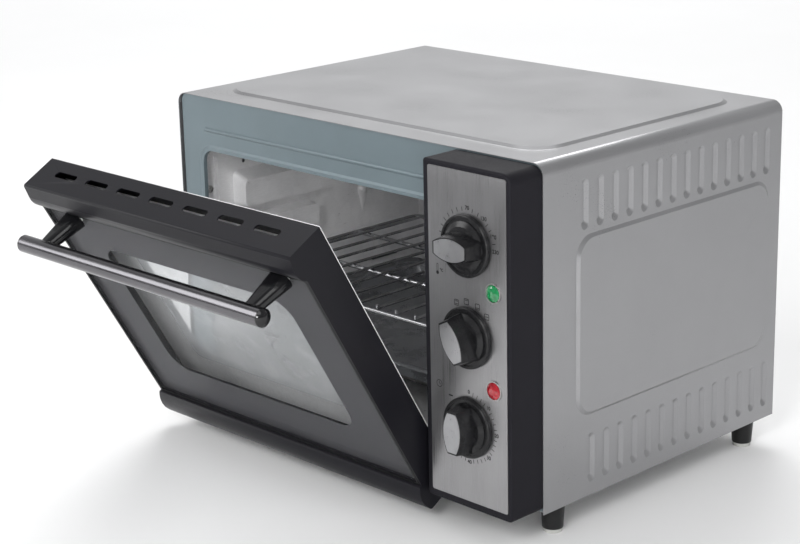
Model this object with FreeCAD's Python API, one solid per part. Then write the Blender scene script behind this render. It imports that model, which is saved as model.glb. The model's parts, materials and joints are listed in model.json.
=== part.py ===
import FreeCAD, Part
import math
import os

# Toaster oven with a drop-down glass door on the left and a control column on the right.
# Working frame, millimetres: x to the right, y to the back, z up; x = 0 is the casing's left side,
# y = 0 the casing's front edge and z = 0 the casing's underside. The last step moves everything
# so that the origin is the centre of the underside of the whole part.

# ---- driving dimensions ----
CASE_W = 440.0
CASE_D = 308.0
CASE_H = 285.0
CASE_R = 10.0
FIELD_RAISED = 2.0
LOUVER_COUNT = 14
LOUVER_W = 8.6
LOUVER_DEPTH = 2.2
# first centre y, pitch, z from, z to
LOUVER_ROWS = ((48.7, 18.3, 224.3, 265.2), (57.8, 18.1, 11.4, 53.4))
SHEET = 0.6

HOUSING_X0 = 347.4
HOUSING_X1 = CASE_W - 0.8
HOUSING_Z0 = 3.8
HOUSING_Z1 = 283.4
HOUSING_DEPTH = 36.0
HOUSING_WALL = 2.5
FASCIA_T = 1.0
FASCIA_PROUD = 0.4
FASCIA_BOX = (353.2, 435.6, 10.4, 279.3)

KNOB_X = 394.8
KNOB_ZS = {"temperature": 221.4, "function": 147.6, "timer": 73.4}
KNOB_TURN = {"temperature": 90.0, "function": 27.0, "timer": 0.0}
KNOB_DISC_R = 24.9
KNOB_DISC_T = 3.6
KNOB_GAP = 0.8
KNOB_H = 19.0
GRIP_FOOT = (39.0, 6.5, 12.0)
GRIP_TOP = (35.0, 4.8, 9.6)
SHAFT_R = 3.0
RUNNING_FIT = 0.05

LAMP_X = 421.9
LAMP_ZS = {"power": 188.4, "heating": 110.0}
LAMP_R = 7.0
LAMP_BEZEL_R = 8.0
LAMP_HOLE_R = 7.2

DOOR_X0 = 2.5
DOOR_X1 = 344.5
DOOR_REST_ANGLE = 30.0
HINGE_Y = -12.5
HINGE_Z = 4.4
HINGE_V = -4.3
HINGE_W = 10.0
DOOR_TOP_V = 272.0
DOOR_LIP_V = 245.5
DOOR_RAIL_V = 15.0
DOOR_BACK_W = -1.0
GLASS_W = 31.0
GLASS_T = 4.0
INNER_GLASS_T = 3.0
DOOR_WALL = 1.2
PIN_R = 3.0
DOOR_MIDDLE_X = (DOOR_X0 + DOOR_X1) / 2
DOOR_WINDOW = (56.0, 291.0, 54.0, 206.0)
EAR_X = 11.2
EAR_T = 2.0

HANDLE_V = 239.0
HANDLE_W = 70.0
HANDLE_R = 7.5
HANDLE_X0 = 15.5
HANDLE_X1 = 331.5
HANDLE_DOME = 3.0
STANDOFF_XS = (45.5, 310.5)

WALL_X = 20.0
WALL_X_RIGHT = 336.0
CAVITY_Y1 = 283.0
CAVITY_Z0 = 30.0
CAVITY_Z1 = 246.0
FRAME_Y = 2.0
OPENING = (31.5, 324.5, 40.0, 236.0)
OPENING_R = 12.0
BEAD_Z = 254.5
RUNNER_DEPTH = 15.5
# y from, y to, z from, z to, how far the upper side slopes down
RUNNERS = ((42.5, 276.0, 172.0, 207.0, 8.0),
           (42.5, 136.0, 134.0, 163.0, 2.0),
           (42.5, 276.0, 91.0, 119.6, 0.4),
           (42.5, 276.0, 54.0, 78.7, 0.4))

RACK_Z = 121.6
RACK_FRAME_R = 2.0
RACK_ROD_R = 1.4
RACK_BOX = (34.9, 321.1, 18.5, 266.0)
RACK_RODS = 12
RACK_PITCH = 23.0
RACK_STUB = 3.0
TRAY_Z = 78.7
TRAY_BOX = (32.9, 323.1, 21.0, 262.0)
TRAY_DEPTH = 13.0

ELEMENT_R = 3.2
ELEMENT_YS = (75.0, 215.0)
ELEMENT_ZS = {"upper": 230.0, "lower": 43.0}

FOOT_H = 22.0
PAD_H = 3.0
FOOT_XS = (14.0, CASE_W - 14.0)
FOOT_YS = (27.0, 282.0)

X_AXIS = FreeCAD.Vector(1, 0, 0)
Y_AXIS = FreeCAD.Vector(0, 1, 0)
Z_AXIS = FreeCAD.Vector(0, 0, 1)

nodes = {}


# ---- shape helpers ----
def vec(x, y, z):
    return FreeCAD.Vector(x, y, z)


def box(x0, x1, y0, y1, z0, z1):
    return Part.makeBox(x1 - x0, y1 - y0, z1 - z0, vec(x0, y0, z0))


def rod(start, end, radius):
    """A straight round bar between two points."""
    along = end - start
    return Part.makeCylinder(radius, along.Length, start, along)


def fuse(shapes):
    """One solid from overlapping or touching shapes."""
    joined = shapes[0].fuse(shapes[1:]) if len(shapes) > 1 else shapes[0]
    return joined.removeSplitter()


def plane_point(plane, a, b, level):
    """A point from two in-plane coordinates: XY, XZ or YZ, and the level along the normal."""
    if plane == "XY":
        return vec(a, b, level)
    if plane == "XZ":
        return vec(a, level, b)
    return vec(level, a, b)


def plane_normal(plane):
    return {"XY": Z_AXIS, "XZ": Y_AXIS, "YZ": X_AXIS}[plane]


def rounded_wire(plane, a0, a1, b0, b1, radii, level):
    """A rectangle with one radius per corner: (a0,b0), (a1,b0), (a1,b1), (a0,b1)."""
    corners = [(a0, b0), (a1, b0), (a1, b1), (a0, b1)]
    inward = [(1, 1), (-1, 1), (-1, -1), (1, -1)]
    starts_along_a = [False, True, False, True]
    sharp = 1.0 - math.sqrt(0.5)
    points = []
    for (a, b), (da, db), along_a, radius in zip(corners, inward, starts_along_a, radii):
        on_a = (a + da * radius, b)
        on_b = (a, b + db * radius)
        middle = (a + da * radius * sharp, b + db * radius * sharp)
        first, last = (on_a, on_b) if along_a else (on_b, on_a)
        points.append((first, middle, last, radius))
    edges = []
    for index, (first, middle, last, radius) in enumerate(points):
        if radius > 0:
            edges.append(Part.Arc(plane_point(plane, *first, level), plane_point(plane, *middle, level),
                                  plane_point(plane, *last, level)).toShape())
        following = points[(index + 1) % 4][0]
        edges.append(Part.makeLine(plane_point(plane, *last, level), plane_point(plane, *following, level)))
    return Part.Wire(edges)


def rounded_prism(plane, a0, a1, b0, b1, radius, level0, level1):
    """A rounded rectangle pulled from one level to another along the plane's normal."""
    radii = radius if isinstance(radius, tuple) else (radius,) * 4
    face = Part.Face(rounded_wire(plane, a0, a1, b0, b1, radii, level0))
    return face.extrude(plane_normal(plane) * (level1 - level0))


def tapered_pad(plane, a0, a1, b0, b1, radius, level0, level1, slope, slope_top=None):
    """A pad whose outline shrinks by the slope from its foot to its face; the +b side may differ."""
    top = slope if slope_top is None else slope_top
    foot = rounded_wire(plane, a0, a1, b0, b1, (radius,) * 4, level0)
    face = rounded_wire(plane, a0 + slope, a1 - slope, b0 + slope, b1 - top, (radius - 1,) * 4, level1)
    return Part.makeLoft([foot, face], True, True)


def slot(plane, a, b, length, width, level0, level1, along_a=True):
    """A round-ended slot centred at (a, b)."""
    da, db = (length / 2, width / 2) if along_a else (width / 2, length / 2)
    return rounded_prism(plane, a - da, a + da, b - db, b + db, min(da, db) - 0.01, level0, level1)


def ring(plane, a, b, outer, inner, level0, level1):
    """A washer or tube along the plane's normal."""
    start = plane_point(plane, a, b, level0)
    along = plane_normal(plane)
    return (Part.makeCylinder(outer, level1 - level0, start, along)
            .cut(Part.makeCylinder(inner, level1 - level0, start, along)))


def mirrored(shape, middle_x):
    return shape.mirror(vec(middle_x, 0, 0), X_AXIS)


# ---- casing and panels ----
def casing_prism(inset, y0, y1, z0):
    radius = CASE_R - inset
    return rounded_prism("XZ", inset, CASE_W - inset, z0, CASE_H - inset, (0, 0, radius, radius), y0, y1)


def louver(y, z0, z1):
    """A vent pressed into the right side: the trough, the sheet around it and the slit it opens.

    The front wall of the trough is steep and carries the slit; the rear wall and the ends slope."""
    half = LOUVER_W / 2
    steep, ramp, upper_end, lower_end = 0.8, 3.6, 3.5, 5.5
    surface, floor = CASE_W, CASE_W - LOUVER_DEPTH

    def trough(grow, level0, level1):
        mouth = rounded_wire("YZ", y - half - grow, y + half + grow, z0 - grow, z1 + grow,
                             (half - 0.1 + grow,) * 4, level0)
        base = rounded_wire("YZ", y - half + steep - grow, y + half - ramp + grow, z0 + lower_end - grow,
                            z1 - upper_end + grow, (1.8 + grow,) * 4, level1)
        return Part.makeLoft([mouth, base], True, True)

    pan = trough(SHEET, surface - 0.1, floor - SHEET)
    hollow = trough(0.0, surface, floor)
    slit = box(floor - 2 * SHEET, surface - 0.9, y - half - 0.4, y - half + 1.6, z0 + 8, z1 - 7)
    return pan, [hollow, slit]


def outer_casing():
    shell = casing_prism(0, 0, CASE_D, 0).cut(casing_prism(SHEET, -1, CASE_D + 1, -1))
    flange_w, flange_y = 13.0, 4.0
    flanges = [box(0.4, flange_w, flange_y, CASE_D - 4, 0, SHEET),
               box(CASE_W - flange_w, CASE_W - 0.4, flange_y, CASE_D - 4, 0, SHEET)]
    rise, slope = FIELD_RAISED, 3.6
    top_field = tapered_pad("XY", 27, 413, 26, 286, 28, CASE_H - SHEET, CASE_H + rise, slope)
    top_hollow = tapered_pad("XY", 28, 412, 27, 285, 27, CASE_H - SHEET - 1, CASE_H + rise - SHEET, slope)
    right_field = tapered_pad("YZ", 37.8, 291.5, 69, 221, 18, CASE_W - SHEET, CASE_W + rise, slope)
    right_hollow = tapered_pad("YZ", 38.8, 290.5, 70, 220, 17, CASE_W - SHEET - 1,
                               CASE_W + rise - SHEET, slope)
    fields = [top_field, right_field, mirrored(right_field, CASE_W / 2)]
    hollows = [top_hollow, right_hollow, mirrored(right_hollow, CASE_W / 2)]
    pans, vents = [], []
    for first_y, pitch, z0, z1 in LOUVER_ROWS:
        for index in range(LOUVER_COUNT):
            pan, cuts = louver(first_y + index * pitch, z0, z1)
            pans.append(pan)
            vents.extend(cuts)
    body = shell.fuse(flanges + fields + pans)
    for tools in (hollows, vents):
        body = body.cut(tools)
    return body.removeSplitter()


def rear_panel():
    y0 = CASE_D - 3.0
    panel = rounded_prism("XZ", 1.2, CASE_W - 1.2, 2.0, CASE_H - 1.2, (0, 0, 8.5, 8.5), y0, y0 + SHEET)
    cuts = [slot("XZ", 60 + 26 * column, z, 18, 4, y0 - 1, y0 + 2)
            for z in (70.0, 82.0, 94.0, 200.0, 212.0, 224.0) for column in range(13)]
    cuts.append(Part.makeCylinder(8.0, 4, vec(400, y0 - 2, 40), Y_AXIS))
    return panel.cut(Part.makeCompound(cuts))


def bottom_panel():
    z0 = SHEET
    panel = box(1.2, CASE_W - 1.2, FRAME_Y + 1.0, CASE_D - 3.0, z0, z0 + SHEET)
    cuts = [slot("XY", 60 + 40 * column, y, 26, 5, z0 - 1, z0 + 2) for y in (60.0, 80.0, 220.0, 240.0)
            for column in range(9)]
    return panel.cut(Part.makeCompound(cuts))


def front_frame():
    x0, x1, z0, z1 = 3.0, CASE_W - 3.0, 1.6, 283.8
    plate = rounded_prism("XZ", x0, x1, z0, z1, (0, 0, 6, 6), FRAME_Y, FRAME_Y + SHEET)
    hem = (rounded_prism("XZ", x0, x1, z0, z1, (0, 0, 6, 6), FRAME_Y, FRAME_Y + 11)
           .cut(rounded_prism("XZ", x0 + SHEET, x1 - SHEET, z0 + SHEET, z1 - SHEET, (0, 0, 5, 5),
                              FRAME_Y - 1, FRAME_Y + 12)))
    ox0, ox1, oz0, oz1 = OPENING
    rim = 0.9
    collar = rounded_prism("XZ", ox0 - rim, ox1 + rim, oz0 - rim, oz1 + rim, OPENING_R + rim,
                           FRAME_Y, FRAME_Y + 2.5)
    lip_w = 6.0
    lip = tapered_pad("XZ", ox0 - lip_w, ox1 + lip_w, oz0 - lip_w, oz1 + lip_w - 1, OPENING_R + 5,
                      FRAME_Y, FRAME_Y - 1.4, 2.0)
    bead = rod(vec(35, FRAME_Y + 0.6, BEAD_Z), vec(HOUSING_X0 + 40, FRAME_Y + 0.6, BEAD_Z), 2.0)
    holes = [rounded_prism("XZ", ox0, ox1, oz0, oz1, OPENING_R, FRAME_Y - 3, FRAME_Y + 12)]
    for z in KNOB_ZS.values():
        holes.append(Part.makeCylinder(4.5, 4, vec(KNOB_X, FRAME_Y - 1, z), Y_AXIS))
    for z in LAMP_ZS.values():
        holes.append(Part.makeCylinder(8.0, 4, vec(LAMP_X, FRAME_Y - 1, z), Y_AXIS))
    body = plate.fuse([hem, collar, lip, bead]).cut(Part.makeCompound(holes))
    return body.removeSplitter()


# ---- cavity ----
def cavity_side(sensor_hole):
    """The left wall; the right one is its mirror image. Pressed runners stand into the cavity."""
    y0 = FRAME_Y + SHEET
    face = WALL_X + SHEET
    plate = box(WALL_X, face, y0, CAVITY_Y1, CAVITY_Z0, CAVITY_Z1)
    pads, hollows = [], []
    for ya, yb, za, zb, top_slope in RUNNERS:
        pads.append(tapered_pad("YZ", ya, yb, za, zb, 6.0, WALL_X, face + RUNNER_DEPTH, 2.0, top_slope))
        hollows.append(tapered_pad("YZ", ya + 1, yb - 1, za + 1, zb - 1, 5.0, WALL_X - 1,
                                   face + RUNNER_DEPTH - SHEET, 2.0, top_slope))
    channel_depth = 5.0
    channel = rounded_prism("YZ", 9, 27, 60, 226, 8.0, WALL_X - channel_depth, face)
    channel_cut = rounded_prism("YZ", 10, 26, 61, 225, 7.0, WALL_X - channel_depth + SHEET, face + 1)
    drop_y, drop_z, drop_r, drop_h = 205.5, 159.0, 6.6, 28.0
    drop_top = Part.makeSphere(drop_r, vec(WALL_X - 1.0, drop_y, drop_z))
    drop = Part.makeCone(0.6, drop_r, drop_h, vec(WALL_X - 1.0, drop_y, drop_z - drop_h), Z_AXIS)
    drop = drop.fuse(drop_top).common(box(WALL_X, WALL_X + 8, drop_y - 10, drop_y + 10, 120, 175))
    cuts = hollows + [channel_cut, slot("YZ", 234, 84.5, 36, 3.4, WALL_X - 2, face + 2)]
    cuts.append(Part.makeCylinder(2.0, 6, vec(WALL_X - 2, 56, 214), X_AXIS))
    for z in ELEMENT_ZS.values():
        for y in ELEMENT_YS:
            cuts.append(Part.makeCylinder(4.2, 6, vec(WALL_X - 2, y, z), X_AXIS))
    if sensor_hole:
        cuts.append(Part.makeCylinder(2.5, 6, vec(WALL_X - 2, 236, 218), X_AXIS))
    body = plate.fuse(pads + [channel, drop]).cut(Part.makeCompound(cuts))
    return body.removeSplitter()


def cavity_sheets():
    y0 = FRAME_Y + SHEET
    x0, x1 = WALL_X + SHEET, WALL_X_RIGHT - SHEET
    nodes["cavity_roof"] = box(x0, x1, y0, CAVITY_Y1, CAVITY_Z1 - SHEET, CAVITY_Z1)
    nodes["cavity_floor"] = box(x0, x1, y0, CAVITY_Y1, CAVITY_Z0, CAVITY_Z0 + SHEET)
    back = rounded_prism("XZ", WALL_X, WALL_X_RIGHT, CAVITY_Z0, CAVITY_Z1, 2.0, CAVITY_Y1, CAVITY_Y1 + SHEET)
    press = tapered_pad("XZ", 70, 286, 80, 200, 20, CAVITY_Y1 + SHEET, CAVITY_Y1 - 3, 4.0)
    hollow = tapered_pad("XZ", 71, 285, 81, 199, 19, CAVITY_Y1 + SHEET + 1, CAVITY_Y1 - 3 + SHEET, 4.0)
    nodes["cavity_back_wall"] = back.fuse(press).cut(hollow).removeSplitter()


def heating_parts():
    insulators, brackets = [], []
    for level, z in ELEMENT_ZS.items():
        rods = []
        for y in ELEMENT_YS:
            rods.append(rod(vec(8.0, y, z), vec(350, y, z), ELEMENT_R))
            for x0, x1 in ((9.0, WALL_X - 0.1), (WALL_X_RIGHT + 0.1, 348.0)):
                insulators.append(ring("YZ", y, z, 6.0, ELEMENT_R + 0.1, x0, x1))
        nodes[level + "_heating_elements"] = Part.makeCompound(rods)
        for x0 in (WALL_X + SHEET, WALL_X_RIGHT - SHEET - SHEET):
            for y in ELEMENT_YS:
                plate = rounded_prism("YZ", y - 9, y + 9, z - 6, z + 6, 3.0, x0, x0 + SHEET)
                brackets.append(plate.cut(Part.makeCylinder(ELEMENT_R + 0.2, 4, vec(x0 - 1, y, z), X_AXIS)))
    nodes["element_insulators"] = Part.makeCompound(insulators)
    nodes["element_brackets"] = Part.makeCompound(brackets)


def sensor_parts():
    x, z = WALL_X_RIGHT - 8.0, 218.0
    bulb = Part.makeCylinder(2.2, 80, vec(x, 150, z), Y_AXIS)
    tip = Part.makeSphere(2.2, vec(x, 230, z))
    tail = rod(vec(x, 236, z), vec(x + 14, 236, z), 1.0)
    joint = rod(vec(x, 229, z), vec(x, 236, z), 1.0).fuse(Part.makeSphere(1.0, vec(x, 236, z)))
    nodes["sensor_bulb"] = bulb.fuse([tip, joint, tail]).removeSplitter()
    clips = []
    for y in (165.0, 215.0):
        grip = ring("XZ", x, z, 3.2, 2.25, y, y + 6)
        tab = box(x + 2.6, WALL_X_RIGHT - SHEET, y, y + 6, z - 2.4, z - 1.2)
        clips.append(fuse([grip, tab]))
    nodes["sensor_clips"] = Part.makeCompound(clips)


def bent_frame(plane_z, x0, x1, y0, y1, corner, radius):
    """A round wire bent into a rounded rectangle."""
    path = rounded_wire("XY", x0, x1, y0, y1, (corner,) * 4, plane_z)
    start = path.Edges[1].valueAt(path.Edges[1].FirstParameter)
    heading = path.Edges[1].tangentAt(path.Edges[1].FirstParameter)
    profile = Part.Wire(Part.makeCircle(radius, start, heading))
    ordered = Part.Wire(Part.__sortEdges__(path.Edges[1:] + path.Edges[:1]))
    return ordered.makePipeShell([profile], True, False)


def rack_parts():
    """A bent frame with two cross braces, and straight rods on top whose front ends turn up."""
    x0, x1, y0, y1 = RACK_BOX
    frame = [bent_frame(RACK_Z, x0, x1, y0, y1, 10.0, RACK_FRAME_R)]
    for y in (100.0, 184.0):
        frame.append(rod(vec(x0, y, RACK_Z), vec(x1, y, RACK_Z), RACK_FRAME_R - 0.1))
    nodes["wire_rack_frame"] = fuse(frame)
    rod_z = RACK_Z + RACK_FRAME_R + RACK_ROD_R
    first_x = (x0 + x1) / 2 - RACK_PITCH * (RACK_RODS - 1) / 2
    rods = []
    for index in range(RACK_RODS):
        bend = vec(first_x + index * RACK_PITCH, y0, rod_z)
        rods.append(fuse([rod(bend, bend + Y_AXIS * (y1 - y0), RACK_ROD_R),
                          Part.makeSphere(RACK_ROD_R, bend),
                          rod(bend, bend + Z_AXIS * RACK_STUB, RACK_ROD_R)]))
    nodes["wire_rack_rods"] = Part.makeCompound(rods)


def baking_tray():
    x0, x1, y0, y1 = TRAY_BOX
    rim, slope = 10.0, 3.0
    top = TRAY_Z + SHEET
    tub = tapered_pad("XY", x0 + rim, x1 - rim, y0 + 5, y1 - 5, 16.0, top, TRAY_Z - TRAY_DEPTH, slope)
    hollow = tapered_pad("XY", x0 + rim + SHEET, x1 - rim - SHEET, y0 + 5 + SHEET, y1 - 5 - SHEET, 15.2,
                         top + 0.01, TRAY_Z - TRAY_DEPTH + SHEET, slope)
    flange = rounded_prism("XY", x0, x1, y0, y1, 8.0, TRAY_Z, top)
    roll = rod(vec(x0 + 12, y0 + 1.5, TRAY_Z - 0.6), vec(x1 - 12, y0 + 1.5, TRAY_Z - 0.6), 1.6)
    return fuse([flange, tub, roll]).cut(hollow).removeSplitter()


# ---- control column ----
def control_housing():
    front = -HOUSING_DEPTH
    radii = (4.0, 4.0, 9.0, 2.6)
    outer = rounded_prism("XZ", HOUSING_X0, HOUSING_X1, HOUSING_Z0, HOUSING_Z1, radii, front, 0)
    rim = [edge for edge in outer.Edges if edge.BoundBox.YMax < front + 1e-6]
    outer = outer.makeFillet(2.0, rim)
    wall = HOUSING_WALL
    inner = rounded_prism("XZ", HOUSING_X0 + wall, HOUSING_X1 - wall, HOUSING_Z0 + wall, HOUSING_Z1 - wall,
                          (2.0, 2.0, 8.0, 1.5), front + wall, 1)
    x0, x1, z0, z1 = FASCIA_BOX
    seat = rounded_prism("XZ", x0, x1, z0, z1, 2.0, front - 1, front + FASCIA_T - FASCIA_PROUD)
    body = outer.cut(inner)
    bosses = [ring("XZ", KNOB_X, z, 8.0, SHAFT_R + 1.0, front + wall, front + 12) for z in KNOB_ZS.values()]
    sockets = [ring("XZ", LAMP_X, z, 9.5, LAMP_HOLE_R, front + wall, front + 14) for z in LAMP_ZS.values()]
    holes = [seat]
    for z in KNOB_ZS.values():
        holes.append(Part.makeCylinder(SHAFT_R + 1.0, 10, vec(KNOB_X, front - 2, z), Y_AXIS))
    for z in LAMP_ZS.values():
        holes.append(Part.makeCylinder(LAMP_HOLE_R, 10, vec(LAMP_X, front - 2, z), Y_AXIS))
    return body.fuse(bosses + sockets).cut(Part.makeCompound(holes)).removeSplitter()


def fascia_plate():
    x0, x1, z0, z1 = FASCIA_BOX
    front = -HOUSING_DEPTH - FASCIA_PROUD
    gap = 0.15
    plate = rounded_prism("XZ", x0 + gap, x1 - gap, z0 + gap, z1 - gap, 1.9, front, front + FASCIA_T)
    holes = [Part.makeCylinder(SHAFT_R + 1.5, 4, vec(KNOB_X, front - 1, z), Y_AXIS) for z in KNOB_ZS.values()]
    holes += [Part.makeCylinder(LAMP_HOLE_R, 4, vec(LAMP_X, front - 1, z), Y_AXIS) for z in LAMP_ZS.values()]
    return plate.cut(Part.makeCompound(holes))


def lamp_parts():
    front = -HOUSING_DEPTH - FASCIA_PROUD
    bezels, holders = [], []
    for name, z in LAMP_ZS.items():
        stem = Part.makeCylinder(5.6, 12, vec(LAMP_X, front, z), Y_AXIS)
        flat = Part.makeCylinder(LAMP_R, 1.2, vec(LAMP_X, front - 1.0, z), Y_AXIS)
        ball_r = 9.0
        drop = math.sqrt(ball_r ** 2 - LAMP_R ** 2)
        ball = Part.makeSphere(ball_r, vec(LAMP_X, front - 1.0 + drop, z))
        dome = ball.common(Part.makeCylinder(LAMP_R, 6, vec(LAMP_X, front - 7.0, z), Y_AXIS))
        nodes[name + "_lamp_lens"] = fuse([stem, flat, dome])
        bezels.append(ring("XZ", LAMP_X, z, LAMP_BEZEL_R, LAMP_R + 0.05, front - 1.0, front))
        cup = Part.makeCylinder(6.8, 18, vec(LAMP_X, front + 6.0, z), Y_AXIS)
        bore = Part.makeCylinder(5.65, 6.1, vec(LAMP_X, front + 5.9, z), Y_AXIS)
        holders.append(cup.cut(bore))
    nodes["lamp_bezels"] = Part.makeCompound(bezels)
    nodes["lamp_holders"] = Part.makeCompound(holders)


def control_bodies():
    """The thermostat, the function switch and the timer, screwed behind the front frame."""
    back = FRAME_Y + SHEET
    bodies = {}
    z = KNOB_ZS["temperature"]
    bodies["thermostat_body"] = fuse([box(KNOB_X - 20, KNOB_X + 20, back, back + 16, z - 17, z + 17),
                                      Part.makeCylinder(15, 14, vec(KNOB_X, back + 16, z), Y_AXIS)])
    z = KNOB_ZS["function"]
    terminals = [box(KNOB_X + dx - 3, KNOB_X + dx + 3, back + 30, back + 38, z + dz - 0.5, z + dz + 0.5)
                 for dx in (-12, 0, 12) for dz in (-10, 10)]
    bodies["function_switch_body"] = fuse([box(KNOB_X - 19, KNOB_X + 19, back, back + 30, z - 19, z + 19)]
                                          + terminals)
    z = KNOB_ZS["timer"]
    bodies["timer_body"] = fuse([box(KNOB_X - 22, KNOB_X + 22, back, back + 24, z - 24, z + 24),
                                 Part.makeCylinder(4, 6, vec(KNOB_X, back + 24, z), Y_AXIS)])
    bell_r = 22.0
    bell_y = back + 24 + 6
    bell_centre = vec(KNOB_X, bell_y - 8, z)
    dome = Part.makeSphere(bell_r, bell_centre).cut(Part.makeSphere(bell_r - 1.2, bell_centre))
    dome = dome.common(box(KNOB_X - 30, KNOB_X + 30, bell_y + 3, bell_y + 30, z - 30, z + 30))
    screw = Part.makeCylinder(3.2, 9, vec(KNOB_X, bell_y, z), Y_AXIS)
    seat = box(KNOB_X - 20, KNOB_X + 20, bell_y + 7, bell_y + 8.2, z - 3, z + 3)
    seat = seat.common(Part.makeSphere(bell_r - 0.5, bell_centre))
    nodes["timer_bell"] = fuse([dome, screw, seat])
    for (name, shape), z in zip(bodies.items(), KNOB_ZS.values()):
        bore = Part.makeCylinder(SHAFT_R + RUNNING_FIT, 14.2, vec(KNOB_X, back - 0.1, z), Y_AXIS)
        nodes[name] = shape.cut(bore)
    screws = []
    for z in KNOB_ZS.values():
        for dx in (-14.0, 14.0):
            screws.append(Part.makeCylinder(3.2, 1.6, vec(KNOB_X + dx, FRAME_Y - 1.6, z), Y_AXIS))
    nodes["control_screws"] = Part.makeCompound(screws)


def lens_wire(size, y, x, z, scale=1.0):
    """The grip's outline: two long arcs and two short flat ends, lying along z."""
    length, end_half, mid_half = (value * scale for value in size)
    half = length / 2
    first = Part.Arc(vec(x - end_half, y, z - half), vec(x - mid_half, y, z), vec(x - end_half, y, z + half))
    top = Part.makeLine(vec(x - end_half, y, z + half), vec(x + end_half, y, z + half))
    last = Part.Arc(vec(x + end_half, y, z + half), vec(x + mid_half, y, z), vec(x + end_half, y, z - half))
    foot = Part.makeLine(vec(x + end_half, y, z - half), vec(x - end_half, y, z - half))
    return Part.Wire([first.toShape(), top, last.toShape(), foot])


def knob_parts(name):
    x, z = KNOB_X, KNOB_ZS[name]
    back = -HOUSING_DEPTH - FASCIA_PROUD - KNOB_GAP
    disc_front = back - KNOB_DISC_T
    front = back - KNOB_H
    disc = Part.makeCylinder(KNOB_DISC_R, KNOB_DISC_T, vec(x, disc_front, z), Y_AXIS)
    rim = [edge for edge in disc.Edges if edge.BoundBox.YMax < disc_front + 1e-6]
    disc = disc.makeFillet(1.3, rim)
    dish = ring("XZ", x, z, KNOB_DISC_R - 2.6, KNOB_DISC_R - 5.0, disc_front - 1, disc_front + 0.9)
    crown = Part.makeCone(KNOB_DISC_R - 5.0, KNOB_DISC_R - 9.0, 2.2, vec(x, disc_front, z), vec(0, -1, 0))
    grip = Part.makeLoft([lens_wire(GRIP_FOOT, disc_front + 0.5, x, z), lens_wire(GRIP_TOP, front, x, z)],
                         True, True)
    face_scale = 0.93
    pocket = Part.Face(lens_wire(GRIP_TOP, front, x, z, face_scale)).extrude(vec(0, 0.8, 0))
    bore = Part.makeCylinder(SHAFT_R, 15, vec(x, back - 14.9, z), Y_AXIS)
    knob = disc.cut(dish).fuse([crown, grip]).cut(Part.makeCompound([pocket, bore])).removeSplitter()
    insert = Part.Face(lens_wire(GRIP_TOP, front - 0.3, x, z, face_scale - 0.01)).extrude(vec(0, 1.05, 0))
    insert = insert.cut(Part.makeCylinder(1.1, 0.4, vec(x, front - 0.35, z + 12.0), Y_AXIS))
    shaft = Part.makeCylinder(SHAFT_R, 0.1 + 14.8 - back + FRAME_Y + SHEET + 14.0,
                              vec(x, back - 14.8, z), Y_AXIS)
    turn = -KNOB_TURN[name]
    for node, shape in ((name + "_knob", knob), (name + "_knob_face", insert), (name + "_shaft", shaft)):
        shape.rotate(vec(x, 0, z), Y_AXIS, turn)
        nodes[node] = shape


# ---- door ----
def door_y(w):
    """The closed door's depth coordinate: w is measured outward from the hinge datum."""
    return HINGE_Y + HINGE_W - w


def door_z(v):
    return HINGE_Z - HINGE_V + v


def door_box(x0, x1, w0, w1, v0, v1):
    return box(x0, x1, door_y(w1), door_y(w0), door_z(v0), door_z(v1))


def door_prism(x0, x1, steps):
    """A profile in the door's (w, v) plane pulled along x; a step is a point, or an arc's middle and end."""
    def place(pair):
        return vec(x0, door_y(pair[0]), door_z(pair[1]))
    edges = []
    here = steps[0]
    for step in steps[1:]:
        if isinstance(step[0], tuple):
            middle, end = step
            edges.append(Part.Arc(place(here), place(middle), place(end)).toShape())
            here = end
        else:
            edges.append(Part.makeLine(place(here), place(step)))
            here = step
    edges.append(Part.makeLine(place(here), place(steps[0])))
    return Part.Face(Part.Wire(edges)).extrude(X_AXIS * (x1 - x0))


def door_frame():
    back, top, base = DOOR_BACK_W + SHEET + 0.05, DOOR_TOP_V, DOOR_RAIL_V
    profile = [(back, base), (back, top), (33.6, top), ((35.0, top - 0.6), (35.7, top - 1.9)),
               (37.0, top - 13.0), ((36.2, top - 20.0), (31.6, DOOR_LIP_V)), (GLASS_W, DOOR_LIP_V),
               (GLASS_W, base)]
    outer = door_prism(DOOR_X0, DOOR_X1, profile)
    x0, x1 = DOOR_X0 + DOOR_WALL, DOOR_X1 - DOOR_WALL
    lower = door_box(x0, x1, back - 1, GLASS_W + 0.1, base - 1, 251.0)
    upper = door_box(x0, x1, back - 1, 34.2, 250.9, top - DOOR_WALL)
    body = outer.cut(lower).cut(upper)
    slot_y = door_y(15.0)
    level = door_z(top)
    slots = [slot("XY", 40.8 + 43.3 * index, slot_y, 29, 6.6, level - 4, level + 2) for index in range(7)]
    return body.cut(Part.makeCompound(slots)).removeSplitter()


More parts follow.
